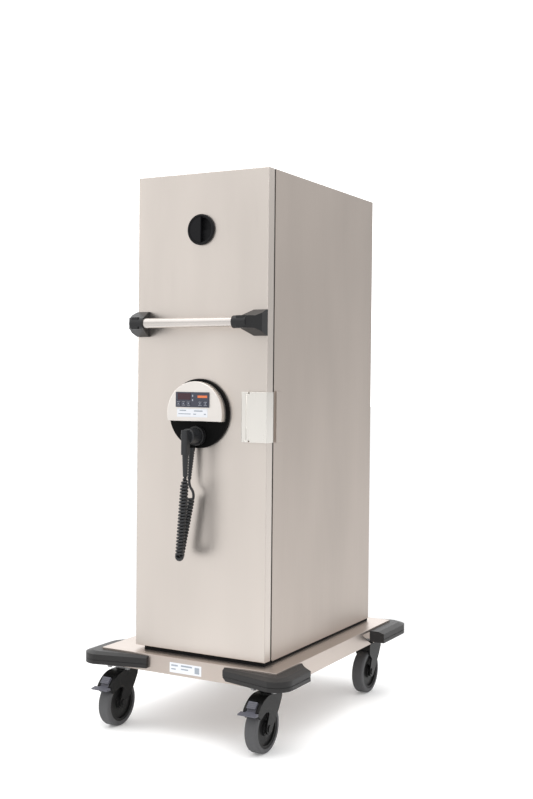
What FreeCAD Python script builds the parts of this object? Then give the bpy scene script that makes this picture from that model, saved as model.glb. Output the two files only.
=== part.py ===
"""Insulated food carrier: a tall heated transport cabinet on a wheeled platform.

Millimetres, +X to the right, +Y to the back, +Z up. The sizes below are drawn from a level 5 mm
under the floor and from the platform's centre. At the end everything moves down by 5 mm and back
by SHIFT_Y, because the brake pedals stand out in front, which puts the origin on the floor under
the centre of the whole carrier's box. Every node is one piece, or one set of identical fasteners,
and is written as one STEP file. The door is closed, the latch is shut, the casters trail straight
to the front.
"""
import FreeCAD, Part
import math
import os

# ---- driving dimensions -------------------------------------------------------------------------
SHIFT_Y = 13.75

# Wheels and casters
WHEEL_R = 62.5            # 125 mm wheel
AXLE_Z = 67.5             # height of the wheels' axles
SHIFT_Z = WHEEL_R - AXLE_Z
WHEEL_HALF = 17.0         # half of the tyre's width
HUB_R = 50.0
AXLE_R = 6.0
RUNNING = 0.05            # radial clearance of a pin that turns
CASTER_X = 223.0          # swivel axes, left and right of the centre
CASTER_Y = 318.0          # swivel axes, in front of and behind the centre
TRAIL = 36.0              # from the swivel axis forward to the wheel's axle
CROWN_TOP = 152.0         # top of the fork
STEM_BOTTOM = 134.5       # swivel stem, in a bore that goes 2 mm deeper
PLATE_BOTTOM = 161.0
PLATE_TOP = 165.0
PLATE_HALF = 38.0
BOLT_OFFSET = 29.0        # caster bolts, from the swivel axis
BOLT_R = 4.0
PEDAL_Y = -86.0           # brake pedal's pivot, from the swivel axis
PEDAL_Z = 118.0

# Platform
TRAY_HALF_X = 267.0
TRAY_HALF_Y = 361.5
TRAY_TOP = 210.0
TRAY_BOTTOM = 165.0
TRAY_SHEET = 2.0
CROSS_HALF = 40.0         # half of a crossmember's width
CROSS_WALL = 3.0

# Corner bumpers
BUMPER_OUT = 45.0         # how far a bumper stands out at the corner
BUMPER_END = 10.0         # how far it stands out at the end of its front leg
BUMPER_LEG = 150.0
BUMPER_BOTTOM = 174.0
BUMPER_SHOULDER = 200.0
BUMPER_TOP = 205.5
BUMPER_SLOPE = 18.0       # how far the top slopes in from the outer edge
BUMPER_ROUND = 48.0
BUMPER_GROOVE = 1.5

# Cabinet
LEFT = -184.0
RIGHT = 212.0
MID_X = (LEFT + RIGHT) / 2
BODY_FRONT = -282.0
LIP_FRONT = -287.0        # the casing's edge around the door's gasket
BODY_BACK = 324.0
BODY_BOTTOM = 217.0
TOP = 1470.0
SKIN = 1.0
LINER = 0.8
CAVITY_LEFT = -154.0
CAVITY_RIGHT = 182.0
CAVITY_BACK = 284.0
CAVITY_BOTTOM = 257.0
CAVITY_TOP = 1430.0
SILL_TOP = 219.0

# Runner racks for 530 x 325 mm food containers
RUNNER_LEVELS = 9
RUNNER_FIRST = 297.0
RUNNER_PITCH = 125.0
RUNNER_SHEET = 1.5
RUNNER_LEDGE = 14.0
RUNNER_WEB = 12.0
RUNNER_FRONT = -246.0
RUNNER_BACK = 280.0

# Door
DOOR_FRONT = -323.0
DOOR_BACK = -294.0
DOOR_BOTTOM = 220.0
GASKET_REAR = -282.3
HINGE_X = -193.0
HINGE_Y = -288.0
HINGE_R = 6.0
HINGE_PIN_R = 3.0
HINGE_HEIGHT = 80.0
HINGE_CENTRES = (340.0, 1350.0)

# Handle
HANDLE_Z = 1080.0
HANDLE_OUT = 60.0         # from the door to the middle of the tube
HANDLE_R = 12.5
HANDLE_WALL = 1.5
COLLAR_R = 16.0
BRACKET_LONG = 64.0
BRACKET_HALF = 33.0

# Latch
LATCH_BOTTOM = 777.0
LATCH_TOP = 905.0
LATCH_PIVOT_X = 158.0
LATCH_PIVOT_Y = -327.5
LATCH_PIN_R = 2.5

# Vent dial
VENT_Z = 1323.0
VENT_RIM_R = 40.0
VENT_CUP_R = 37.0
VENT_BORE_R = 34.5
DIAL_R = 34.0

# Heating module in the door
MODULE_Z = 847.0
MODULE_RIM_R = 90.0
MODULE_HOLE_R = 87.5
MODULE_TAIL_R = 87.0
MODULE_FACE = -332.0      # front of the black housing
CAP_R = 83.3
CAP_FACE = -353.0
CAP_SHEET = 1.5
CAP_CHORD = 827.6         # flat lower edge of the cap
PANEL_LEFT = -41.0
PANEL_RIGHT = 59.5
PANEL_BOTTOM = 863.4
PANEL_TOP = 902.5
PANEL_FACE = -355.5
KEY_Z = 872.8
KEY_XS = (-32.5, -17.0, -1.5, 33.5, 49.9)
KEY_HALF_X = 6.0
KEY_HALF_Z = 5.0
KEY_GAP = 0.3

# Socket, plug and cord
SOCKET_X = 12.0
SOCKET_Z = 789.0
SOCKET_R = 25.5
PLUG_R = 20.0
PLUG_X = 13.0
PLUG_Y = -391.0
PLUG_CORD_Z = 687.0       # where the cord leaves the plug's strain relief
RELIEF_X = 1.0
RELIEF_Y = -341.5
RELIEF_TOP = 758.5
RELIEF_END = (-2.0, -348.0, 677.0)    # where the cord leaves its strain relief
CORD_R = 3.5
COIL_R = 11.25            # outside of the coil
LEAD_POINTS = (RELIEF_END, (-2.5, -349.3, 661.0), (16.0, -352.5, 643.0), (14.0, -353.0, 628.0))
COIL_POINTS = ((6.0, -353.0, 628.0), (-19.0, -362.0, 480.0), (4.0, -402.0, 480.0), (13.0, -391.0, 687.0))


# ---- small helpers ------------------------------------------------------------------------------
def vec(x, y, z):
    return FreeCAD.Vector(x, y, z)


def block(x0, x1, y0, y1, z0, z1):
    return Part.makeBox(x1 - x0, y1 - y0, z1 - z0, vec(x0, y0, z0))


def rod_x(x0, x1, y, z, r):
    return Part.makeCylinder(r, x1 - x0, vec(x0, y, z), vec(1, 0, 0))


def rod_y(x, y0, y1, z, r):
    return Part.makeCylinder(r, y1 - y0, vec(x, y0, z), vec(0, 1, 0))


def rod_z(x, y, z0, z1, r):
    return Part.makeCylinder(r, z1 - z0, vec(x, y, z0), vec(0, 0, 1))


def join(shapes):
    whole = shapes[0]
    for shape in shapes[1:]:
        whole = whole.fuse(shape)
    return whole.removeSplitter()


def mirror_x(shape, about):
    return shape.mirror(vec(about, 0, 0), vec(1, 0, 0))


def face_of(points):
    return Part.Face(Part.makePolygon(list(points) + [points[0]]))


def rounded(shape, radius, picks):
    """The shape with the edges that picks() chooses rounded, or as it was where that can't be done."""
    edges = [e for e in shape.Edges if picks(e)]
    try:
        result = shape.makeFillet(radius, edges)
    except Part.OCCError:
        print("not rounded:", radius, len(edges))
        return shape
    return result if result.isValid() and len(result.Solids) == 1 else shape


def hexagon(x, y, z0, z1, across):
    far = across / math.sqrt(3)
    points = [vec(x + far * math.cos(math.radians(a)), y + far * math.sin(math.radians(a)), z0)
              for a in range(0, 360, 60)]
    return face_of(points).extrude(vec(0, 0, z1 - z0))


# ---- platform -----------------------------------------------------------------------------------
def platform_tray():
    """Folded tray. Its side flanges are cut away on a slant just ahead of the rear bumpers."""
    outer = block(-TRAY_HALF_X, TRAY_HALF_X, -TRAY_HALF_Y, TRAY_HALF_Y, TRAY_BOTTOM, TRAY_TOP)
    hollow = block(-TRAY_HALF_X + TRAY_SHEET, TRAY_HALF_X - TRAY_SHEET,
                   -TRAY_HALF_Y + TRAY_SHEET, TRAY_HALF_Y - TRAY_SHEET,
                   TRAY_BOTTOM - 1, TRAY_TOP - TRAY_SHEET)
    side_end = face_of([vec(-TRAY_HALF_X - 1, 160, 203), vec(-TRAY_HALF_X - 1, 224, 164),
                        vec(-TRAY_HALF_X - 1, 240, 164), vec(-TRAY_HALF_X - 1, 240, 203)])
    return outer.cut(hollow).cut(side_end.extrude(vec(2 * TRAY_HALF_X + 2, 0, 0)))


def crossmember(y):
    half = TRAY_HALF_X - TRAY_SHEET
    top = TRAY_TOP - TRAY_SHEET
    tube = block(-half, half, y - CROSS_HALF, y + CROSS_HALF, PLATE_TOP, top)
    inside = block(-half - 1, half + 1, y - CROSS_HALF + CROSS_WALL, y + CROSS_HALF - CROSS_WALL,
                   PLATE_TOP + CROSS_WALL, top - CROSS_WALL)
    tube = tube.cut(inside)
    for x, by in bolt_places():
        if abs(by - y) < CROSS_HALF:
            tube = tube.cut(rod_z(x, by, PLATE_TOP - 1, PLATE_TOP + CROSS_WALL + 1, BOLT_R))
    return tube


def stems():
    return {"fl": (-CASTER_X, -CASTER_Y), "fr": (CASTER_X, -CASTER_Y),
            "rl": (-CASTER_X, CASTER_Y), "rr": (CASTER_X, CASTER_Y)}


def bolt_places():
    return [(x + i * BOLT_OFFSET, y + j * BOLT_OFFSET)
            for x, y in stems().values() for i in (-1, 1) for j in (-1, 1)]


def bumper_outline(inset, square_end, z):
    """Plan of one bumper. The platform's corner is at 0, 0 and both legs run to negative values."""
    out = BUMPER_OUT - inset
    end = max(BUMPER_END - inset, 1.0)
    turn = BUMPER_OUT - BUMPER_ROUND
    r = BUMPER_ROUND - inset
    mid = turn + r * math.sqrt(0.5)
    side = [(out, -BUMPER_LEG), (0, -BUMPER_LEG)] if square_end else [(out, -100), (0, -140)]
    edges = [Part.LineSegment(vec(0, 0, z), vec(-BUMPER_LEG, 0, z)),
             Part.LineSegment(vec(-BUMPER_LEG, 0, z), vec(-BUMPER_LEG, end, z)),
             Part.LineSegment(vec(-BUMPER_LEG, end, z), vec(turn, out, z)),
             Part.Arc(vec(turn, out, z), vec(mid, mid, z), vec(out, turn, z)),
             Part.LineSegment(vec(out, turn, z), vec(*side[0], z)),
             Part.LineSegment(vec(*side[0], z), vec(*side[1], z)),
             Part.LineSegment(vec(*side[1], z), vec(0, 0, z))]
    return Part.Wire([e.toShape() for e in edges])


def bumper(right, back):
    layers = []
    z = BUMPER_BOTTOM
    for height, inset in ((10, 0), (2, BUMPER_GROOVE), (BUMPER_SHOULDER - z - 12, 0)):
        layers.append(Part.Face(bumper_outline(inset, back, z)).extrude(vec(0, 0, height)))
        z += height
    low = bumper_outline(0, back, BUMPER_SHOULDER)
    high = bumper_outline(BUMPER_SLOPE, back, BUMPER_TOP)
    layers.append(Part.makeLoft([low, high], True, True))
    shape = join(layers)
    if right and not back:
        low_corner = [vec(-BUMPER_LEG - 1, -1, BUMPER_BOTTOM - 1),
                      vec(-BUMPER_LEG + 12, -1, BUMPER_BOTTOM - 1),
                      vec(-BUMPER_LEG - 1, -1, BUMPER_BOTTOM + 10)]
        shape = shape.cut(face_of(low_corner).extrude(vec(0, BUMPER_OUT, 0)))
    if not back:
        shape = shape.mirror(vec(0, 0, 0), vec(0, 1, 0))
    if not right:
        shape = mirror_x(shape, 0)
    shape.translate(vec(TRAY_HALF_X if right else -TRAY_HALF_X, TRAY_HALF_Y if back else -TRAY_HALF_Y, 0))
    return shape


# ---- casters ------------------------------------------------------------------------------------
def caster_plates():
    plates = []
    for x, y in stems().values():
        plate = block(x - PLATE_HALF, x + PLATE_HALF, y - PLATE_HALF, y + PLATE_HALF,
                      PLATE_BOTTOM, PLATE_TOP)
        race = rod_z(x, y, CROWN_TOP + 1.3, PLATE_BOTTOM, 24)
        kingpin = rod_z(x, y, STEM_BOTTOM, PLATE_BOTTOM, 8)
        plate = join([plate, race, kingpin])
        for bx, by in bolt_places():
            if abs(bx - x) < PLATE_HALF and abs(by - y) < PLATE_HALF:
                plate = plate.cut(rod_z(bx, by, PLATE_BOTTOM - 1, PLATE_TOP + 1, BOLT_R))
        plates.append(plate)
    return Part.makeCompound(plates)


def caster_bolts():
    bolts = []
    for x, y in bolt_places():
        head = hexagon(x, y, PLATE_BOTTOM - 5, PLATE_BOTTOM, 13)
        shank = rod_z(x, y, PLATE_BOTTOM, PLATE_TOP + CROSS_WALL, BOLT_R)
        nut = hexagon(x, y, PLATE_TOP + CROSS_WALL, PLATE_TOP + CROSS_WALL + 6.5, 13)
        bolts.append(join([head, shank, nut]))
    return Part.makeCompound(bolts)


def fork(braked):
    """Fork with its riveted axle, and the swivel axis at 0, 0. A braked one has a hood in front."""
    wide = 22.5
    back_and_leg = [(30, CROWN_TOP), (28, 133), (13, 108), (-22, 62), (-50, 62), (-49, 76),
                    (-38, 106), (-43, 111)]
    if braked:
        front = [(-56, 112), (-82, 101), (-92, 110), (-93, 121)]
        top = Part.Arc(vec(0, -93, 121), vec(0, -68, 143), vec(0, -30, CROWN_TOP)).toShape()
    else:
        front = [(-54, 122), (-54, 142)]
        top = Part.Arc(vec(0, -54, 142), vec(0, -51, 149), vec(0, -44, CROWN_TOP)).toShape()
    first = (-30 if braked else -44, CROWN_TOP)
    corners = [first] + back_and_leg + front
    edges = [top]
    for (ay, az), (by, bz) in zip(corners, corners[1:]):
        edges.append(Part.LineSegment(vec(0, ay, az), vec(0, by, bz)).toShape())
    side = Part.Face(Part.Wire(edges)).extrude(vec(2 * wide, 0, 0))
    side.translate(vec(-wide, 0, 0))
    body = join([side, rod_x(-wide, wide, -TRAIL, AXLE_Z, 15)])
    body = body.cut(rod_x(-18.5, 18.5, -TRAIL, AXLE_Z, WHEEL_R + 3.5))
    body = body.cut(rod_z(0, 0, STEM_BOTTOM - 2, CROWN_TOP + 1, 8 + RUNNING))
    if braked:
        body = body.cut(block(-12.8, 12.8, -130, -68, 95, 160))
        body = body.cut(rod_x(-18, 18, PEDAL_Y, PEDAL_Z, 3 + RUNNING))
    axle = rod_x(-wide - 2.5, wide + 2.5, -TRAIL, AXLE_Z, AXLE_R)
    caps = rod_x(-wide - 2.5, -wide, -TRAIL, AXLE_Z, 9)
    return join([body, axle, caps, mirror_x(caps, 0)])


def brake_pedal():
    """Rocker on its cross pin, with a wide tongue to press down and a ribbed pad that releases it."""
    outline = [(-116, 115), (-116, 118.5), (-99, 120.5), (-91, 121.5), (-88, 127), (-95, 129.5),
               (-81, 143.5), (-76.5, 139), (-82, 125), (-83.5, 113.5), (-99, 113.5)]
    rocker = face_of([vec(-12.5, y, z) for y, z in outline]).extrude(vec(25, 0, 0))
    tongue = face_of([vec(-25, y, z) for y, z in outline[:3] + outline[-1:]]).extrude(vec(50, 0, 0))
    shape = join([rocker, tongue, rod_x(-18, 18, PEDAL_Y, PEDAL_Z, 3)])
    for step in (0.2, 0.45, 0.7):
        y, z = -95 + 14 * step, 129.5 + 14 * step
        shape = shape.cut(rod_x(-13, 13, y, z, 0.8))
    return shape


def tyre():
    ring = rod_x(-WHEEL_HALF, WHEEL_HALF, -TRAIL, AXLE_Z, WHEEL_R)
    ring = rounded(ring, 6, lambda e: e.Closed)
    return ring.cut(rod_x(-WHEEL_HALF - 1, WHEEL_HALF + 1, -TRAIL, AXLE_Z, HUB_R))


def hub():
    core = rod_x(-15, 15, -TRAIL, AXLE_Z, HUB_R)
    for x0, x1 in ((-16, -10), (10, 16)):
        groove = rod_x(x0, x1, -TRAIL, AXLE_Z, 43).cut(rod_x(x0, x1, -TRAIL, AXLE_Z, 19))
        core = core.cut(groove)
    core = join([core, rod_x(-17.5, 17.5, -TRAIL, AXLE_Z, 14)])
    return core.cut(rod_x(-30, 30, -TRAIL, AXLE_Z, AXLE_R + RUNNING))


# ---- cabinet ------------------------------------------------------------------------------------
def outer_casing():
    """Folded casing, open to the front. Its sides and its top reach forward around the gasket."""
    lip = block(LEFT, RIGHT, LIP_FRONT, BODY_FRONT, DOOR_BOTTOM, TOP)
    outer = join([block(LEFT, RIGHT, BODY_FRONT, BODY_BACK, BODY_BOTTOM, TOP), lip])
    return outer.cut(block(LEFT + SKIN, RIGHT - SKIN, LIP_FRONT - 1, BODY_BACK - SKIN,
                           BODY_BOTTOM + SKIN, TOP - SKIN))


def cavity(grow, front):
    return block(CAVITY_LEFT - grow, CAVITY_RIGHT + grow, front, CAVITY_BACK + grow,
                 CAVITY_BOTTOM - grow, CAVITY_TOP + grow)


def inner_liner():
    tub = cavity(LINER, BODY_FRONT)
    flange = block(LEFT + SKIN, RIGHT - SKIN, BODY_FRONT, BODY_FRONT + LINER,
                   BODY_BOTTOM + SKIN, TOP - SKIN)
    return join([tub, flange]).cut(cavity(0, BODY_FRONT - 1))


def insulation_foam():
    outer = block(LEFT + SKIN, RIGHT - SKIN, BODY_FRONT + LINER, BODY_BACK - SKIN,
                  BODY_BOTTOM + SKIN, TOP - SKIN)
    return outer.cut(cavity(LINER, BODY_FRONT))


def runner_uprights():
    """Three flat strips on each side wall, which carry the ledges."""
    left = []
    for y in (-225, 17, 259):
        left.append(block(CAVITY_LEFT, CAVITY_LEFT + RUNNER_SHEET, y - 15, y + 15,
                          CAVITY_BOTTOM + 3, CAVITY_TOP - 3))
    return Part.makeCompound(left + [mirror_x(strip, MID_X) for strip in left])


def pan_ledges():
    """An angle for each level on both sides, for the rims of the food containers."""
    face = CAVITY_LEFT + RUNNER_SHEET
    left = []
    for level in range(RUNNER_LEVELS):
        z = RUNNER_FIRST + level * RUNNER_PITCH
        ledge = block(face, face + RUNNER_LEDGE, RUNNER_FRONT, RUNNER_BACK, z, z + RUNNER_SHEET)
        web = block(face, face + RUNNER_SHEET, RUNNER_FRONT, RUNNER_BACK, z - RUNNER_WEB, z)
        left.append(join([ledge, web]))
    return Part.makeCompound(left + [mirror_x(angle, MID_X) for angle in left])


def base_seal():
    """Black seal between cabinet and platform. Its front part is the sill under the door."""
    ring = block(LEFT + 2, RIGHT - 2, BODY_FRONT + 1, BODY_BACK - 2, TRAY_TOP, BODY_BOTTOM)
    ring = ring.cut(block(LEFT + 40, RIGHT - 40, BODY_FRONT + 40, BODY_BACK - 40,
                          TRAY_TOP - 1, BODY_BOTTOM + 1))
    sill = block(LEFT + 27, RIGHT - 3, DOOR_FRONT + 3, BODY_FRONT, TRAY_TOP, SILL_TOP)
    link = block(LEFT + 27, RIGHT - 3, BODY_FRONT, BODY_FRONT + 5, TRAY_TOP, BODY_BOTTOM)
    return join([ring, sill, link])


def latch_keeper():
    thick = block(RIGHT, RIGHT + 5, BODY_FRONT + 1, BODY_FRONT + 14, LATCH_BOTTOM, LATCH_TOP + 2)
    thin = block(RIGHT, RIGHT + 3, BODY_FRONT + 1, BODY_FRONT + 34, LATCH_BOTTOM, LATCH_TOP + 2)
    return join([thick, thin])


# ---- hinges -------------------------------------------------------------------------------------
def hinge_parts(centre):
    """Body leaf, door leaf and pin of one hinge. The door's knuckle is the middle one of three."""
    low, high = centre - HINGE_HEIGHT / 2, centre + HINGE_HEIGHT / 2
    cut_low, cut_high = low + 25, high - 25
    pin = rod_z(HINGE_X, HINGE_Y, low - 3, high + 3, HINGE_PIN_R)
    body = [block(LEFT - 3, LEFT, BODY_FRONT, BODY_FRONT + 42, low, high)]
    for z0, z1 in ((low, cut_low), (cut_high, high)):
        body.append(rod_z(HINGE_X, HINGE_Y, z0, z1, HINGE_R))
        body.append(block(HINGE_X + 2, LEFT, HINGE_Y, BODY_FRONT, z0, z1))
        body.append(block(HINGE_X, HINGE_X + 6, HINGE_Y, HINGE_Y + HINGE_R, z0, z1))
    body = join(body).cut(pin)
    door = [block(LEFT - 3, LEFT, DOOR_BACK - 18, DOOR_BACK, low, high),
            rod_z(HINGE_X, HINGE_Y, cut_low + 0.4, cut_high - 0.4, HINGE_R),
            block(HINGE_X + 2, LEFT, DOOR_BACK - 2, HINGE_Y, cut_low + 0.4, cut_high - 0.4),
            block(HINGE_X, HINGE_X + 6, HINGE_Y - HINGE_R, HINGE_Y, cut_low + 0.4, cut_high - 0.4)]
    bore = rod_z(HINGE_X, HINGE_Y, low - 3, high + 3, HINGE_PIN_R + RUNNING)
    return body, join(door).cut(bore), pin


def hinge_set(which):
    return Part.makeCompound([hinge_parts(z)[which] for z in HINGE_CENTRES])


# ---- door ---------------------------------------------------------------------------------------
def door_holes(front, back):
    return [rod_y(MID_X, front, back, MODULE_Z, MODULE_HOLE_R),
            rod_y(MID_X, front, min(back, -302.5), VENT_Z, VENT_CUP_R + 0.5)]


def door_skin():
    outer = block(LEFT, RIGHT, DOOR_FRONT, DOOR_BACK, DOOR_BOTTOM, TOP)
    inside = block(LEFT + SKIN, RIGHT - SKIN, DOOR_FRONT + SKIN, DOOR_BACK + 1,
                   DOOR_BOTTOM + SKIN, TOP - SKIN)
    shape = outer.cut(inside)
    for hole in door_holes(DOOR_FRONT - 1, DOOR_FRONT + SKIN + 1):
        shape = shape.cut(hole)
    return shape


def door_foam():
    shape = block(LEFT + SKIN, RIGHT - SKIN, DOOR_FRONT + SKIN, DOOR_BACK - LINER,
                  DOOR_BOTTOM + SKIN, TOP - SKIN)
    for hole in door_holes(DOOR_FRONT - 1, DOOR_BACK + 1):
        shape = shape.cut(hole)
    return shape


def door_inner_panel():
    shape = block(LEFT + SKIN, RIGHT - SKIN, DOOR_BACK - LINER, DOOR_BACK,
                  DOOR_BOTTOM + SKIN, TOP - SKIN)
    return shape.cut(rod_y(MID_X, DOOR_BACK - 5, DOOR_BACK + 5, MODULE_Z, MODULE_HOLE_R))


def door_gasket():
    ring = block(LEFT + 2.5, RIGHT - 2.5, DOOR_BACK, GASKET_REAR, DOOR_BOTTOM + 2.5, TOP - 2.5)
    return ring.cut(block(CAVITY_LEFT - 4, CAVITY_RIGHT + 4, DOOR_BACK - 1, GASKET_REAR + 1,
                          CAVITY_BOTTOM - 5, CAVITY_TOP + 5))


def handle_tube():
    y = DOOR_FRONT - HANDLE_OUT
    x0, x1 = LEFT + BRACKET_LONG - 32, RIGHT - BRACKET_LONG + 32
    return rod_x(x0, x1, y, HANDLE_Z, HANDLE_R).cut(
        rod_x(x0 - 1, x1 + 1, y, HANDLE_Z, HANDLE_R - HANDLE_WALL))


def handle_bracket_right():
    """Horn that is a tall foot on the door and a round collar on the tube."""
    plan = [(0, 0), (0, 30), (13, 60), (30, 74), (50, 74), (50, 45), (38, 8), (38, 0)]
    body = face_of([vec(RIGHT - t, DOOR_FRONT - d, HANDLE_Z - BRACKET_HALF) for t, d in plan])
    body = body.extrude(vec(0, 0, 2 * BRACKET_HALF))
    side = [(0, -33), (6, -33), (50, -15.5), (80, -15.5), (80, 15.5), (50, 15.5), (6, 33), (0, 33)]
    side = face_of([vec(RIGHT - 60, DOOR_FRONT - d, HANDLE_Z + h) for d, h in side])
    body = body.common(side.extrude(vec(80, 0, 0)))
    y = DOOR_FRONT - HANDLE_OUT
    collar = rod_x(RIGHT - BRACKET_LONG, RIGHT - 24, y, HANDLE_Z, COLLAR_R)
    body = join([body, collar])
    return body.cut(rod_x(RIGHT - BRACKET_LONG - 1, RIGHT - BRACKET_LONG + 32, y, HANDLE_Z, HANDLE_R))


def latch_base():
    strip = block(140, 153.5, DOOR_FRONT - 4, DOOR_FRONT, LATCH_BOTTOM, LATCH_TOP)
    lugs = [block(150, 162, LATCH_PIVOT_Y - 4, DOOR_FRONT, z0, z0 + 4.5)
            for z0 in (LATCH_BOTTOM, LATCH_TOP - 4.5)]
    pin = rod_z(LATCH_PIVOT_X, LATCH_PIVOT_Y, LATCH_BOTTOM, LATCH_TOP, LATCH_PIN_R)
    return join([strip] + lugs + [pin])


def latch_lever():
    outer, inner = LATCH_PIVOT_Y - 4, LATCH_PIVOT_Y - 0.5
    low, high = LATCH_BOTTOM + 5, LATCH_TOP - 5
    knuckle = rod_z(LATCH_PIVOT_X, LATCH_PIVOT_Y, low, high, 4)
    root = block(LATCH_PIVOT_X, 167, outer, inner, low, high)
    plate = block(166, RIGHT + 4, outer, inner, LATCH_BOTTOM, LATCH_TOP)
    wrap = block(RIGHT + 0.6, RIGHT + 4, outer, DOOR_BACK - 3, LATCH_BOTTOM, LATCH_TOP)
    shape = join([knuckle, root, plate, wrap])
    return shape.cut(rod_z(LATCH_PIVOT_X, LATCH_PIVOT_Y, LATCH_BOTTOM, LATCH_TOP,
                           LATCH_PIN_R + RUNNING))


def vent_bezel():
    rim = rod_y(MID_X, DOOR_FRONT - 7, DOOR_FRONT, VENT_Z, VENT_RIM_R)
    rim = rounded(rim, 2, lambda e: e.Closed and e.CenterOfMass.y < DOOR_FRONT - 6)
    cup = rod_y(MID_X, DOOR_FRONT, -303, VENT_Z, VENT_CUP_R)
    shape = join([rim, cup]).cut(rod_y(MID_X, DOOR_FRONT - 8, -306, VENT_Z, VENT_BORE_R))
    return join([shape, rod_y(MID_X, -311.5, -305.9, VENT_Z, 3)])


def vent_dial():
    disc = rod_y(MID_X, -314, -306.5, VENT_Z, DIAL_R)
    raised = rod_y(MID_X, -329, -313.9, VENT_Z, DIAL_R).common(
        block(MID_X - 40, MID_X, -330, -313, VENT_Z - 40, VENT_Z + 40))
    rim = rod_y(MID_X, -327, -313.9, VENT_Z, DIAL_R).cut(rod_y(MID_X, -328, -313, VENT_Z, DIAL_R - 2))
    quarter = rod_y(MID_X, -318, -313.9, VENT_Z, DIAL_R - 1).common(
        block(MID_X, MID_X + 40, -319, -313, VENT_Z - 40, VENT_Z))
    shape = join([disc, raised, rim, quarter])
    return shape.cut(rod_y(MID_X, -312, -306, VENT_Z, 3 + RUNNING))


def module_housing():
    rim = rod_y(MID_X, MODULE_FACE, DOOR_FRONT, MODULE_Z, MODULE_RIM_R)
    rim = rounded(rim, 1.5, lambda e: e.Closed and e.CenterOfMass.y < DOOR_FRONT - 6)
    tail = rod_y(MID_X, DOOR_FRONT, DOOR_BACK, MODULE_Z, MODULE_TAIL_R)
    inset = CAP_SHEET
    boss = rod_y(MID_X, CAP_FACE + inset, MODULE_FACE, MODULE_Z, CAP_R - inset).common(
        block(MID_X - 100, MID_X + 100, CAP_FACE, MODULE_FACE, CAP_CHORD + inset, MODULE_Z + 100))
    spout = rod_z(RELIEF_X, RELIEF_Y, RELIEF_TOP, RELIEF_TOP + 4.5, 9.4)
    root = block(RELIEF_X - 6, RELIEF_X + 6, RELIEF_Y, MODULE_FACE + 2, RELIEF_TOP, RELIEF_TOP + 4.5)
    return join([rim, tail, boss, spout, root])


def module_cap():
    def slab(inset):
        disc = rod_y(MID_X, CAP_FACE + inset, MODULE_FACE, MODULE_Z, CAP_R - inset)
        return disc.common(block(MID_X - 100, MID_X + 100, CAP_FACE, MODULE_FACE,
                                 CAP_CHORD + inset, MODULE_Z + 100))
    shape = rounded(slab(0), 1.2, lambda e: abs(e.CenterOfMass.y - CAP_FACE) < 0.01)
    return shape.cut(slab(CAP_SHEET))


def control_panel():
    shape = block(PANEL_LEFT, PANEL_RIGHT, PANEL_FACE, CAP_FACE, PANEL_BOTTOM, PANEL_TOP)
    for x in KEY_XS:
        shape = shape.cut(block(x - KEY_HALF_X - KEY_GAP, x + KEY_HALF_X + KEY_GAP,
                                PANEL_FACE - 1, CAP_FACE,
                                KEY_Z - KEY_HALF_Z - KEY_GAP, KEY_Z + KEY_HALF_Z + KEY_GAP))
    return shape


def key(x):
    return block(x - KEY_HALF_X, x + KEY_HALF_X, PANEL_FACE - 0.6, PANEL_FACE + 1.4,
                 KEY_Z - KEY_HALF_Z, KEY_Z + KEY_HALF_Z)


def display_window():
    return block(-34.3, 5.2, PANEL_FACE - 0.5, PANEL_FACE, 882.6, 899.6)


def module_inner_cover():
    """Louvred box on the inner side of the door, over the heater."""
    x0, x1, z0, z1 = MID_X - 100, MID_X + 100, MODULE_Z - 110, MODULE_Z + 110
    shape = block(x0, x1, DOOR_BACK, -250, z0, z1)
    shape = shape.cut(block(x0 + SKIN, x1 - SKIN, DOOR_BACK - 1, -250 - SKIN, z0 + SKIN, z1 - SKIN))
    for level in range(7):
        z = z0 + 35 + level * 25
        shape = shape.cut(block(x0 + 35, x1 - 35, -255, -245, z - 3, z + 3))
    return shape


def parking_socket():
    ring = rod_y(SOCKET_X, -345, MODULE_FACE, SOCKET_Z, SOCKET_R)
    ring = rounded(ring, 1.5, lambda e: e.Closed and e.CenterOfMass.y < -344)
    return ring.cut(rod_y(SOCKET_X, -346, -334, SOCKET_Z, PLUG_R + 0.3))


# ---- plug and cord ------------------------------------------------------------------------------
def plug():
    """Angled plug parked in its socket, with its moulded strain relief."""
    head = rod_y(SOCKET_X, -383, -334, SOCKET_Z, PLUG_R)
    head = rounded(head, 3, lambda e: e.Closed and e.CenterOfMass.y < -382)
    grip = block(PLUG_X - 8.5, PLUG_X + 8.5, -401, -380, 743, 806)
    grip = rounded(grip, 4, lambda e: abs(e.tangentAt(e.FirstParameter).z) > 0.9)
    relief = Part.makeCone(6, 8, 56.2, vec(PLUG_X, PLUG_Y, PLUG_CORD_Z))
    return join([head, grip, relief])


def cord_relief():
    """Ribbed cone that leans forward and to the left, and is flat on top where it meets the spout."""
    foot = vec(*RELIEF_END)
    along = vec(RELIEF_X, RELIEF_Y, RELIEF_TOP) - foot
    size = along.Length + 1.5
    cone = Part.makeCone(5, 8.9, size)
    for level in range(10):
        z = 6 + level * 7
        r = 5 + z / size * 3.9
        cone = cone.cut(rod_z(0, 0, z, z + 2.6, r + 2).cut(rod_z(0, 0, z - 1, z + 4, r - 1.3)))
    cone.Placement = FreeCAD.Placement(foot, FreeCAD.Rotation(vec(0, 0, 1), along))
    return cone.cut(block(-30, 30, -380, -320, RELIEF_TOP, RELIEF_TOP + 10))


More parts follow.
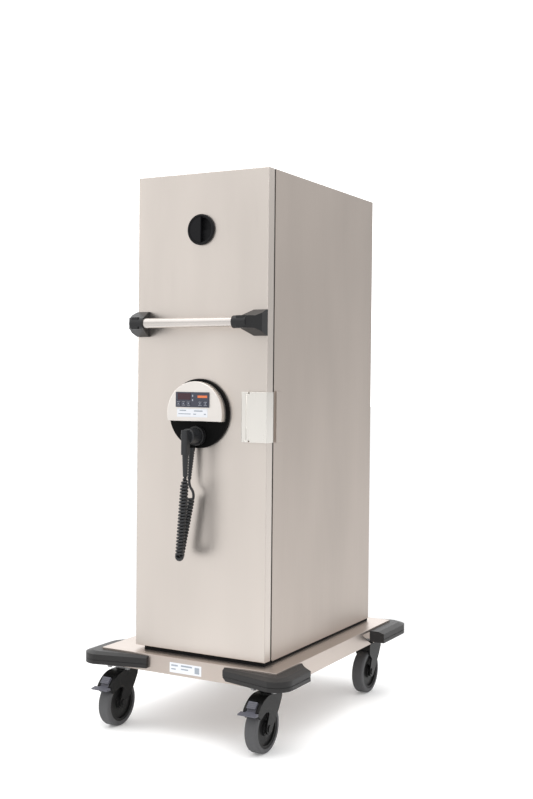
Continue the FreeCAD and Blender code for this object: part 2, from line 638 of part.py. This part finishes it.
def tube_along(points, radius, name):
    """Round tube on straight runs joined by tangent arcs. The radii of the arcs are printed."""
    spots = [vec(*p) for p in points]
    edges, start, radii = [], spots[0], []
    for before, here, after in zip(spots, spots[1:], spots[2:]):
        a, b = (before - here), (after - here)
        shorter = min(a.Length, b.Length)
        a.normalize()
        b.normalize()
        half_turn = (math.pi - a.getAngle(b)) / 2
        reach = 0.45 * shorter
        arc_radius = reach / math.tan(half_turn)
        radii.append(round(arc_radius, 1))
        first, last = here + a * reach, here + b * reach
        middle = (a + b)
        middle.normalize()
        depth = arc_radius / math.cos(half_turn) - arc_radius
        edges.append(Part.LineSegment(start, first).toShape())
        edges.append(Part.Arc(first, here + middle * depth, last).toShape())
        start = last
    edges.append(Part.LineSegment(start, spots[-1]).toShape())
    path = Part.Wire(edges)
    ahead = spots[1] - spots[0]
    section = Part.Wire([Part.makeCircle(radius, spots[0], ahead)])
    tube = path.makePipeShell([section], True, False)
    expected = math.pi * radius ** 2 * path.Length
    print(name, "radii", radii, "length", round(path.Length, 1), "volume ratio",
          round(tube.Volume / expected, 4))
    return tube


def cord_lead():
    return tube_along(LEAD_POINTS, CORD_R, "cord_lead")


def cord_coil():
    return tube_along(COIL_POINTS, COIL_R, "cord_coil")


# ---- everything ---------------------------------------------------------------------------------
def placed(shape, x, y):
    shape = shape.copy()
    shape.translate(vec(x, y, 0))
    return shape


def all_nodes():
    nodes = {
        "platform_tray": platform_tray(),
        "crossmember_front": crossmember(-CASTER_Y),
        "crossmember_rear": crossmember(CASTER_Y),
        "bumper_front_left": bumper(False, False),
        "bumper_front_right": bumper(True, False),
        "bumper_rear_left": bumper(False, True),
        "bumper_rear_right": bumper(True, True),
        "caster_plates": caster_plates(),
        "caster_bolts": caster_bolts(),
        "outer_casing": outer_casing(),
        "inner_liner": inner_liner(),
        "insulation_foam": insulation_foam(),
        "runner_uprights": runner_uprights(),
        "pan_ledges": pan_ledges(),
        "base_seal": base_seal(),
        "latch_keeper": latch_keeper(),
        "hinge_body_leaves": hinge_set(0),
        "hinge_door_leaves": hinge_set(1),
        "hinge_pins": hinge_set(2),
        "door_skin": door_skin(),
        "door_foam": door_foam(),
        "door_inner_panel": door_inner_panel(),
        "door_gasket": door_gasket(),
        "handle_tube": handle_tube(),
        "handle_bracket_right": handle_bracket_right(),
        "handle_bracket_left": mirror_x(handle_bracket_right(), MID_X),
        "latch_base": latch_base(),
        "latch_lever": latch_lever(),
        "vent_bezel": vent_bezel(),
        "vent_dial": vent_dial(),
        "module_housing": module_housing(),
        "module_cap": module_cap(),
        "control_panel": control_panel(),
        "display_window": display_window(),
        "module_inner_cover": module_inner_cover(),
        "parking_socket": parking_socket(),
        "plug": plug(),
        "cord_relief": cord_relief(),
        "cord_lead": cord_lead(),
        "cord_coil": cord_coil(),
    }
    for number, x in enumerate(KEY_XS, 1):
        nodes["key_%d" % number] = key(x)
    for corner, (x, y) in stems().items():
        braked = corner[0] == "f"
        nodes["fork_" + corner] = placed(fork(braked), x, y)
        nodes["tyre_" + corner] = placed(tyre(), x, y)
        nodes["hub_" + corner] = placed(hub(), x, y)
        if braked:
            nodes["brake_pedal_" + corner] = placed(brake_pedal(), x, y)
    return nodes


os.makedirs("parts", exist_ok=True)
box = FreeCAD.BoundBox()
cord_names = ("plug", "cord_lead", "cord_coil")
built = all_nodes()
for node, solid in built.items():
    good = solid.isValid() and len(solid.Solids) >= 1 and solid.Volume > 0
    if not good or len(solid.Solids) != len(solid.Shells):
        print("CHECK", node, "valid", solid.isValid(), "solids", len(solid.Solids), "volume", solid.Volume)
    solid.translate(vec(0, SHIFT_Y, SHIFT_Z))
    if node not in cord_names:
        box.add(solid.optimalBoundingBox(False))
    solid.exportStep("parts/%s.step" % node)
print(len(built), "nodes, box", [round(v, 2) for v in (box.XMin, box.XMax, box.YMin, box.YMax, box.ZMin, box.ZMax)])
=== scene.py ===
import math

import bpy
from mathutils import Matrix, Vector


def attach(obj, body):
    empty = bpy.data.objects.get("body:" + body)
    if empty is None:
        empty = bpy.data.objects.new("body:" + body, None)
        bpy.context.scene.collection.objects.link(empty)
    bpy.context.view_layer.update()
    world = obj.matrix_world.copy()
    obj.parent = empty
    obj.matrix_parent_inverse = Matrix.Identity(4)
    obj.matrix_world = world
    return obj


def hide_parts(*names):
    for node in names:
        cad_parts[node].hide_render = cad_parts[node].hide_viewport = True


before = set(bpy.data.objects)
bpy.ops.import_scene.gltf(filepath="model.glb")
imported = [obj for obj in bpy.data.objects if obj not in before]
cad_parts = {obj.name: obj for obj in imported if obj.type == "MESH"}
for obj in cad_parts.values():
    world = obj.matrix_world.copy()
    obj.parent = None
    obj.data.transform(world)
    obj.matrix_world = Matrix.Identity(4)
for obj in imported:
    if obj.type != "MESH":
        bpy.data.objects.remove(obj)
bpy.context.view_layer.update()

# ---- where things are: metres in the row frame, whose origin is on the floor under the carrier's middle
MM = 0.001
SHIFT_Y = 0.01375                     # how far the CAD moves its drawn sizes back
SHIFT_Z = -0.005                      # and how far it moves them down

CAMERA_AT = Vector((1.5798, -2.8102 + SHIFT_Y, 0.9457 + SHIFT_Z))
CAMERA_TURN = math.radians(28.84)
CAMERA_DIP = math.radians(1.19)
CAMERA_ROLL = math.radians(0.554)
CAMERA_LENS = 50.89                   # in millimetres, on a sensor this wide
CAMERA_SENSOR = 36
CAMERA_REACH = 60

ROOM_LEVEL = 0.56                     # how bright the white room is, and how that changes with direction
ROOM_SLOPE = (-0.06, -0.09, 1.25)
ROOM_DARKEST = 0.25
WALL_SIDE = (-0.482, 0.876, 0.0)      # where the white wall behind the carrier is
WALL_START = 0.80                     # the cosine at which that wall begins, and how fast it brightens
WALL_GAIN = 6.0
FLOOR_GLOW = 0.14                     # how much the floor shines by itself, which keeps shadows light
FLOOR_WHITE = 1.05                    # how much it shines further out, where it is plain white
FLOOR_FADE = (0.45, 1.15)             # the distances from the middle between which it gets there
FLOOR_HALF = 30

STEEL_CLOUDS = (5.0, 5.0, 1.6)        # how fast the steel's soft tones change across and up, per metre

CORNERS = ("fl", "fr", "rl", "rr")
KEYS = range(1, 6)

CORD_R = 0.0035
HELIX_R = 0.00775                     # from the coil's axis to the wire's middle
HELIX_PITCH = 0.0083
HELIX_CLOSING = 0.02                  # the length in which the coil's end draws in to its middle line
POINTS_PER_TURN = 16
# The lead from the cord relief to the coil, and the coil's own middle line down and back up to the plug
LEAD_ROUTE = ((-0.002, -0.348, 0.677), (-0.0025, -0.3493, 0.661), (0.016, -0.3525, 0.643),
              (0.014, -0.353, 0.628))
COIL_ROUTE = ((0.006, -0.353, 0.628), (-0.0156, -0.3608, 0.500), (-0.019, -0.362, 0.480),
              (0.004, -0.402, 0.480), (0.0049, -0.401, 0.500), (0.013, -0.391, 0.687))

# The prints on the door and the tray, in the CAD's drawn millimetres
PANEL_FACE = -355.5
KEY_FACE = -356.0
KEY_MIDDLES = (-32.5, -17.0, -1.5, 33.5, 49.9)
KEY_LINE_HEIGHTS = (868.6, 877.0)
KEY_LINE_HALF_WIDTH = 5.0
KEY_LINE_HALF = 0.4
KEY_SIGN_HALF_WIDTH = 1.6
KEY_SIGN_BOTTOM = 871.8
KEY_SIGN_TOP = 873.8
PRINT = 0.3                           # how far a print stands out of its face
ROOT = 0.2                            # and how far its back is sunk into it


# ---- small helpers --------------------------------------------------------------------------------
def at(x, y, z):
    """A point given in the CAD's drawn millimetres, as metres in the row frame."""
    return Vector((x * MM, y * MM + SHIFT_Y, z * MM + SHIFT_Z))


def add_object(name, data, body, material):
    """A new piece of the carrier that rides on a body."""
    piece = bpy.data.objects.new(name, data)
    bpy.context.scene.collection.objects.link(piece)
    data.materials.append(material)
    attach(piece, body)
    return piece


def bar(name, low, high, body, material, edge=0.0):
    """A block between two corners in CAD millimetres, with its edges rounded by edge millimetres."""
    a, b = at(*low), at(*high)
    points = [(x, y, z) for x in (a.x, b.x) for y in (a.y, b.y) for z in (a.z, b.z)]
    faces = [(0, 1, 3, 2), (4, 6, 7, 5), (0, 4, 5, 1), (2, 3, 7, 6), (0, 2, 6, 4), (1, 5, 7, 3)]
    mesh = bpy.data.meshes.new(name)
    mesh.from_pydata(points, [], faces)
    piece = add_object(name, mesh, body, material)
    if edge:
        round_off = piece.modifiers.new("edges", "BEVEL")
        round_off.width = edge * MM
        round_off.segments = 3
    return piece


# ---- materials ------------------------------------------------------------------------------------
def start_material(name):
    """A new material with its node tree and its shader."""
    material = bpy.data.materials.new(name)
    material.use_nodes = True
    tree = material.node_tree
    return material, tree, tree.nodes["Principled BSDF"]


def noise_of(tree, scale, detail, stretch=(1, 1, 1)):
    """Noise that is fixed to the piece."""
    where = tree.nodes.new("ShaderNodeTexCoord")
    mapping = tree.nodes.new("ShaderNodeMapping")
    mapping.inputs["Scale"].default_value = stretch
    noise = tree.nodes.new("ShaderNodeTexNoise")
    noise.inputs["Scale"].default_value = scale
    noise.inputs["Detail"].default_value = detail
    tree.links.new(where.outputs["Object"], mapping.inputs["Vector"])
    tree.links.new(mapping.outputs["Vector"], noise.inputs["Vector"])
    return noise


def vary(tree, noise, socket, low, high):
    """Lets the noise move a socket between two values."""
    spread = tree.nodes.new("ShaderNodeMapRange")
    spread.inputs["From Min"].default_value = 0.3
    spread.inputs["From Max"].default_value = 0.7
    spread.inputs["To Min"].default_value = low
    spread.inputs["To Max"].default_value = high
    tree.links.new(noise.outputs["Fac"], spread.inputs["Value"])
    tree.links.new(spread.outputs["Result"], socket)


def emboss(tree, shader, noise, strength, distance, edge):
    """A fine relief, on normals that round off the mesh's edges by edge metres."""
    soften = tree.nodes.new("ShaderNodeBevel")
    soften.samples = 6
    soften.inputs["Radius"].default_value = edge
    bump = tree.nodes.new("ShaderNodeBump")
    bump.inputs["Strength"].default_value = strength
    bump.inputs["Distance"].default_value = distance
    tree.links.new(noise.outputs["Fac"], bump.inputs["Height"])
    tree.links.new(soften.outputs["Normal"], bump.inputs["Normal"])
    tree.links.new(bump.outputs["Normal"], shader.inputs["Normal"])


def steel(name, colour, roughness, grain, edge=0.0015):
    """Sheet steel with soft tones and a fine grain, whose stretch is small along the brushing."""
    material, tree, shader = start_material(name)
    shader.inputs["Metallic"].default_value = 1.0
    tone = tree.nodes.new("ShaderNodeHueSaturation")
    tone.inputs["Color"].default_value = (*colour, 1)
    clouds = noise_of(tree, 1.0, 2.0, STEEL_CLOUDS)
    vary(tree, clouds, tone.inputs["Value"], 0.94, 1.04)
    tree.links.new(tone.outputs["Color"], shader.inputs["Base Color"])
    noise = noise_of(tree, 1.0, 3.0, grain)
    vary(tree, noise, shader.inputs["Roughness"], roughness - 0.03, roughness + 0.03)
    emboss(tree, shader, noise, 0.02, 0.0002, edge)
    return material


def plastic(name, colour, roughness, shine=0.3, grain=900.0, strength=0.15):
    """Plastic, rubber, film or paper with a fine relief."""
    material, tree, shader = start_material(name)
    shader.inputs["Base Color"].default_value = (*colour, 1)
    shader.inputs["Specular IOR Level"].default_value = shine
    noise = noise_of(tree, grain, 2.0)
    vary(tree, noise, shader.inputs["Roughness"], roughness - 0.06, roughness + 0.06)
    emboss(tree, shader, noise, strength, 0.0003, 0.0008)
    return material


def paint(node, material):
    """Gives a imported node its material."""
    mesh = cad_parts[node].data
    mesh.materials.clear()
    mesh.materials.append(material)


steel_door = steel("steel_door", (0.70, 0.64, 0.59), 0.36, (400, 400, 8), 0.003)
# The casing's steel has a darker colour than the door's steel: painted shade, standing in for the shade on
# the side face that turns away from the light.
steel_side_painted_shade = steel("steel_side_painted_shade", (0.545, 0.485, 0.44), 0.46, (400, 400, 8), 0.002)
steel_tray = steel("steel_tray", (0.53, 0.465, 0.42), 0.36, (8, 400, 400), 0.002)
steel_latch = steel("steel_latch", (0.86, 0.83, 0.78), 0.30, (400, 400, 8), 0.0025)
steel_cap = steel("steel_cap", (0.80, 0.76, 0.72), 0.42, (8, 400, 400), 0.002)
steel_tube = steel("steel_tube", (0.64, 0.60, 0.57), 0.26, (8, 400, 400))
steel_liner = steel("steel_liner", (0.62, 0.60, 0.57), 0.30, (300, 300, 8))
zinc = steel("zinc", (0.30, 0.30, 0.30), 0.40, (400, 400, 400))
black_plastic = plastic("black_plastic", (0.014, 0.014, 0.015), 0.38, 0.35)
black_matt = plastic("black_matt", (0.004, 0.004, 0.004), 0.45, 0.06)
vent_black = plastic("vent_black", (0.008, 0.008, 0.009), 0.42, 0.14)
bumper_rubber = plastic("bumper_rubber", (0.017, 0.016, 0.016), 0.45, 0.35, 500.0, 0.25)
seal_rubber = plastic("seal_rubber", (0.006, 0.006, 0.006), 0.60, 0.10)
gasket_grey = plastic("gasket_grey", (0.10, 0.09, 0.085), 0.60, 0.20)
fork_black = plastic("fork_black", (0.008, 0.008, 0.008), 0.32, 0.16)
tread_rubber = plastic("tread_rubber", (0.085, 0.085, 0.088), 0.62, 0.25, 300.0, 0.3)
hub_plastic = plastic("hub_plastic", (0.012, 0.012, 0.012), 0.42, 0.20)
pedal_grey = plastic("pedal_grey", (0.10, 0.10, 0.12), 0.45, 0.35)
cord_rubber = plastic("cord_rubber", (0.020, 0.021, 0.023), 0.38, 0.40)
film_blue = plastic("film_blue", (0.060, 0.063, 0.085), 0.35, 0.3, 900.0, 0.05)
film_key = plastic("film_key", (0.070, 0.075, 0.10), 0.35, 0.3, 900.0, 0.05)
film_line = plastic("film_line", (0.42, 0.44, 0.50), 0.40, 0.3, 900.0, 0.05)
display_red = plastic("display_red", (0.060, 0.030, 0.038), 0.25, 0.3, 900.0, 0.02)
accent_orange = plastic("accent_orange", (0.75, 0.20, 0.08), 0.40, 0.3, 900.0, 0.05)
label_white = plastic("label_white", (0.78, 0.80, 0.84), 0.45, 0.3, 900.0, 0.05)
label_grey = plastic("label_grey", (0.35, 0.39, 0.44), 0.45, 0.3, 900.0, 0.05)
foam_cream = plastic("foam_cream", (0.75, 0.68, 0.48), 0.85, 0.3, 200.0, 0.5)

PAINTS = {
    "platform_tray": steel_tray, "crossmember_front": steel_tray, "crossmember_rear": steel_tray,
    "caster_plates": zinc, "caster_bolts": zinc, "outer_casing": steel_side_painted_shade,
    "inner_liner": steel_liner, "insulation_foam": foam_cream, "runner_uprights": steel_liner,
    "pan_ledges": steel_liner, "base_seal": seal_rubber, "latch_keeper": steel_side_painted_shade,
    "hinge_body_leaves": steel_door, "hinge_pins": zinc, "hinge_door_leaves": steel_door,
    "door_skin": steel_door, "door_foam": foam_cream, "door_inner_panel": steel_liner,
    "door_gasket": gasket_grey, "handle_tube": steel_tube, "handle_bracket_left": black_plastic,
    "handle_bracket_right": black_plastic, "latch_base": steel_latch, "latch_lever": steel_latch,
    "vent_bezel": vent_black, "vent_dial": vent_black, "module_housing": black_matt,
    "module_cap": steel_cap, "control_panel": film_blue, "display_window": display_red,
    "module_inner_cover": steel_liner, "parking_socket": black_plastic, "plug": cord_rubber,
    "cord_relief": cord_rubber, "cord_lead": cord_rubber, "cord_coil": cord_rubber,
}
for side in ("front_left", "front_right", "rear_left", "rear_right"):
    PAINTS["bumper_" + side] = bumper_rubber
for corner in CORNERS:
    PAINTS["fork_" + corner] = fork_black
    PAINTS["tyre_" + corner] = tread_rubber
    PAINTS["hub_" + corner] = hub_plastic
for corner in CORNERS[:2]:
    PAINTS["brake_pedal_" + corner] = pedal_grey
for key in KEYS:
    PAINTS["key_%d" % key] = film_key
for node, material in PAINTS.items():
    paint(node, material)


# ---- camera, backdrop and light -------------------------------------------------------------------
def camera():
    """A camera that looks level, but for a small dip and roll, from the front and right."""
    data = bpy.data.cameras.new("camera")
    data.lens = CAMERA_LENS
    data.sensor_width = CAMERA_SENSOR
    data.clip_end = CAMERA_REACH
    eye = bpy.data.objects.new("camera", data)
    bpy.context.scene.collection.objects.link(eye)
    turn = Matrix.Rotation(CAMERA_TURN, 4, "Z") @ Matrix.Rotation(math.pi / 2 - CAMERA_DIP, 4, "X")
    turn = turn @ Matrix.Rotation(CAMERA_ROLL, 4, "Z")
    eye.matrix_world = Matrix.Translation(CAMERA_AT) @ turn
    bpy.context.scene.camera = eye


def backdrop():
    """A white room, brighter above, for the steel to mirror, with a white wall behind the carrier."""
    world = bpy.data.worlds.new("studio")
    world.use_nodes = True
    tree = world.node_tree
    where = tree.nodes.new("ShaderNodeTexCoord")

    def along(direction):
        """How far the way one looks points along a direction."""
        dot = tree.nodes.new("ShaderNodeVectorMath")
        dot.operation = "DOT_PRODUCT"
        dot.inputs[1].default_value = direction
        tree.links.new(where.outputs["Generated"], dot.inputs[0])
        return dot.outputs["Value"]

    def sum_up(operation, first, second):
        """One step of arithmetic with a socket and a number, or with two sockets."""
        node = tree.nodes.new("ShaderNodeMath")
        node.operation = operation
        tree.links.new(first, node.inputs[0])
        if isinstance(second, float):
            node.inputs[1].default_value = second
        else:
            tree.links.new(second, node.inputs[1])
        return node.outputs["Value"]

    room = sum_up("MAXIMUM", sum_up("ADD", along(ROOM_SLOPE), ROOM_LEVEL), ROOM_DARKEST)
    wall = sum_up("MAXIMUM", sum_up("SUBTRACT", along(WALL_SIDE), WALL_START), 0.0)
    light = sum_up("ADD", room, sum_up("MULTIPLY", wall, WALL_GAIN))
    tree.links.new(light, tree.nodes["Background"].inputs["Strength"])
    tree.nodes["Background"].inputs["Color"].default_value = (1, 1, 1, 1)
    bpy.context.scene.world = world


def floor():
    """Pale floor that takes the shadow close to the carrier and fades to plain white further out."""
    material, tree, shader = start_material("floor_white")
    shader.inputs["Base Color"].default_value = (0.90, 0.90, 0.90, 1)
    shader.inputs["Roughness"].default_value = 0.8
    shader.inputs["Emission Color"].default_value = (1, 1, 1, 1)
    shader.inputs["Emission Strength"].default_value = FLOOR_GLOW
    glow = tree.nodes.new("ShaderNodeEmission")
    glow.inputs["Strength"].default_value = FLOOR_WHITE
    mix = tree.nodes.new("ShaderNodeMixShader")
    where = tree.nodes.new("ShaderNodeTexCoord")
    reach = tree.nodes.new("ShaderNodeVectorMath")
    reach.operation = "LENGTH"
    fade = tree.nodes.new("ShaderNodeMapRange")
    fade.interpolation_type = "SMOOTHSTEP"
    fade.inputs["From Min"].default_value, fade.inputs["From Max"].default_value = FLOOR_FADE
    tree.links.new(where.outputs["Object"], reach.inputs[0])
    tree.links.new(reach.outputs["Value"], fade.inputs["Value"])
    tree.links.new(fade.outputs["Result"], mix.inputs[0])
    tree.links.new(shader.outputs["BSDF"], mix.inputs[1])
    tree.links.new(glow.outputs["Emission"], mix.inputs[2])
    tree.links.new(mix.outputs["Shader"], tree.nodes["Material Output"].inputs["Surface"])
    far = FLOOR_HALF
    mesh = bpy.data.meshes.new("floor")
    mesh.from_pydata([(-far, -far, 0), (far, -far, 0), (far, far, 0), (-far, far, 0)], [], [(0, 1, 2, 3)])
    mesh.materials.append(material)
    ground = bpy.data.objects.new("floor", mesh)
    bpy.context.scene.collection.objects.link(ground)


def softbox(name, place, target, wide, high, power):
    """A rectangular lamp at a place, turned towards a target."""
    data = bpy.data.lights.new(name, "AREA")
    data.shape = "RECTANGLE"
    data.size = wide
    data.size_y = high
    data.energy = power
    lamp = bpy.data.objects.new(name, data)
    bpy.context.scene.collection.objects.link(lamp)
    lamp.location = place
    lamp.rotation_euler = (Vector(target) - Vector(place)).to_track_quat("-Z", "Y").to_euler()


camera()
backdrop()
floor()
softbox("key", place=(-3.2, -1.6, 1.6), target=(0, -0.3, 0.8), wide=1.4, high=1.8, power=20)
softbox("top", place=(0.2, -0.4, 3.8), target=(0, 0, 0), wide=2.6, high=2.6, power=45)


# ---- the curly cord -------------------------------------------------------------------------------
def spline_points(route):
    """Points along the smooth spline that has the route's points as its control points."""
    data = bpy.data.curves.new("route", "CURVE")
    data.dimensions = "3D"
    data.resolution_u = 24
    spline = data.splines.new("NURBS")
    spline.points.add(len(route) - 1)
    for point, place in zip(spline.points, route):
        point.co = (place[0], place[1] + SHIFT_Y, place[2] + SHIFT_Z, 1)
    spline.order_u = 3
    spline.use_endpoint_u = True
    holder = bpy.data.objects.new("route", data)
    bpy.context.scene.collection.objects.link(holder)
    bpy.context.view_layer.update()
    mesh = bpy.data.meshes.new_from_object(holder.evaluated_get(bpy.context.evaluated_depsgraph_get()))
    points = [vertex.co.copy() for vertex in mesh.vertices]
    bpy.data.objects.remove(holder)
    bpy.data.meshes.remove(mesh)
    return points


def walk(points, step):
    """Places and directions along a line of points, step apart."""
    places, carried = [], 0.0
    for a, b in zip(points, points[1:]):
        run = (b - a).length
        while carried <= run:
            places.append((a.lerp(b, carried / run), (b - a).normalized()))
            carried += step
        carried -= run
    return places


def helix(points, first_side, radius, pitch, closing):
    """A helix round a line of points. In its last length, closing, it draws in to the line itself."""
    places = walk(points, pitch / POINTS_PER_TURN)
    side = Vector(first_side)
    wire = []
    for number, (place, ahead) in enumerate(places):
        side = (side - side.dot(ahead) * ahead).normalized()
        left = (len(places) - 1 - number) * pitch / POINTS_PER_TURN
        reach = radius * min(1.0, left / closing)
        angle = 2 * math.pi * number / POINTS_PER_TURN
        wire.append(place + reach * (math.cos(angle) * side + math.sin(angle) * ahead.cross(side)))
    return wire


def curly_cord():
    """The supply cord as one wire: the straight lead from the relief, then the coil to the plug."""
    lead = spline_points(LEAD_ROUTE)
    coil = helix(spline_points(COIL_ROUTE), (1, 0, 0), HELIX_R, HELIX_PITCH, HELIX_CLOSING)
    wire = lead[:-1] + coil
    data = bpy.data.curves.new("curly_cord", "CURVE")
    data.dimensions = "3D"
    data.bevel_depth = CORD_R
    data.bevel_resolution = 3
    data.use_fill_caps = True
    spline = data.splines.new("POLY")
    spline.points.add(len(wire) - 1)
    for point, place in zip(spline.points, wire):
        point.co = (*place, 1)
    piece = add_object("curly_cord", data, "door", cord_rubber)
    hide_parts("cord_lead", "cord_coil")


curly_cord()


# ---- panel and labels -----------------------------------------------------------------------------
def control_panel_marks():
    """An orange accent, two small marks, and two lines and a sign on each key."""
    front, back = PANEL_FACE - PRINT, PANEL_FACE + ROOT
    bar("panel_accent", (26, front, 888), (55, back, 894), "door", accent_orange, 0.1)
    for number, z in enumerate((893, 882)):
        bar("panel_mark_%d" % number, (9.5, front, z - 2.5), (12.5, back, z + 2.5),
            "door", film_line, 0.1)
    front, back = KEY_FACE - PRINT, KEY_FACE
    for key, x in zip(KEYS, KEY_MIDDLES):
        body = "key_body_%d" % key
        for number, z in enumerate(KEY_LINE_HEIGHTS):
            bar("key_%d_line_%d" % (key, number), (x - KEY_LINE_HALF_WIDTH, front, z - KEY_LINE_HALF),
                (x + KEY_LINE_HALF_WIDTH, back, z + KEY_LINE_HALF), body, film_line)
        bar("key_%d_sign" % key, (x - KEY_SIGN_HALF_WIDTH, front, KEY_SIGN_BOTTOM),
            (x + KEY_SIGN_HALF_WIDTH, back, KEY_SIGN_TOP), body, film_line)


def label(name, body, card, card_depth, ink_depth, lines):
    """A white card with grey bars in place of its text. The card and its lines are given as
    x from, x to, z from and z to, and each depth as y from and y to."""
    x0, x1, z0, z1 = card
    bar(name, (x0, card_depth[0], z0), (x1, card_depth[1], z1), body, label_white, 0.1)
    for number, (x0, x1, z0, z1) in enumerate(lines):
        bar("%s_line_%d" % (name, number), (x0, ink_depth[0], z0), (x1, ink_depth[1], z1), body, label_grey)


control_panel_marks()
label("rating_label", "door", (-38, 55, 838, 860), (-353.35, -352.8), (-353.5, -353.3),
      ((-30, -10, 853.5, 856), (14, 40, 852.5, 855.5), (-34, 4, 845, 847), (12, 20, 844.5, 847),
       (44, 50, 844.5, 847.5)))
label("tray_label", "carrier", (-49, 48, 172, 198), (-361.9, -361.4), (-362.1, -361.8),
      ((-44, -24, 189, 193), (-44, -30, 180, 183), (-14, 20, 190, 194), (-14, 8, 182, 185),
       (28, 42, 177, 193)))

# ---- view settings and end ------------------------------------------------------------------------
bpy.context.scene.view_settings.view_transform = "Standard"
bpy.context.scene.view_settings.look = "None"
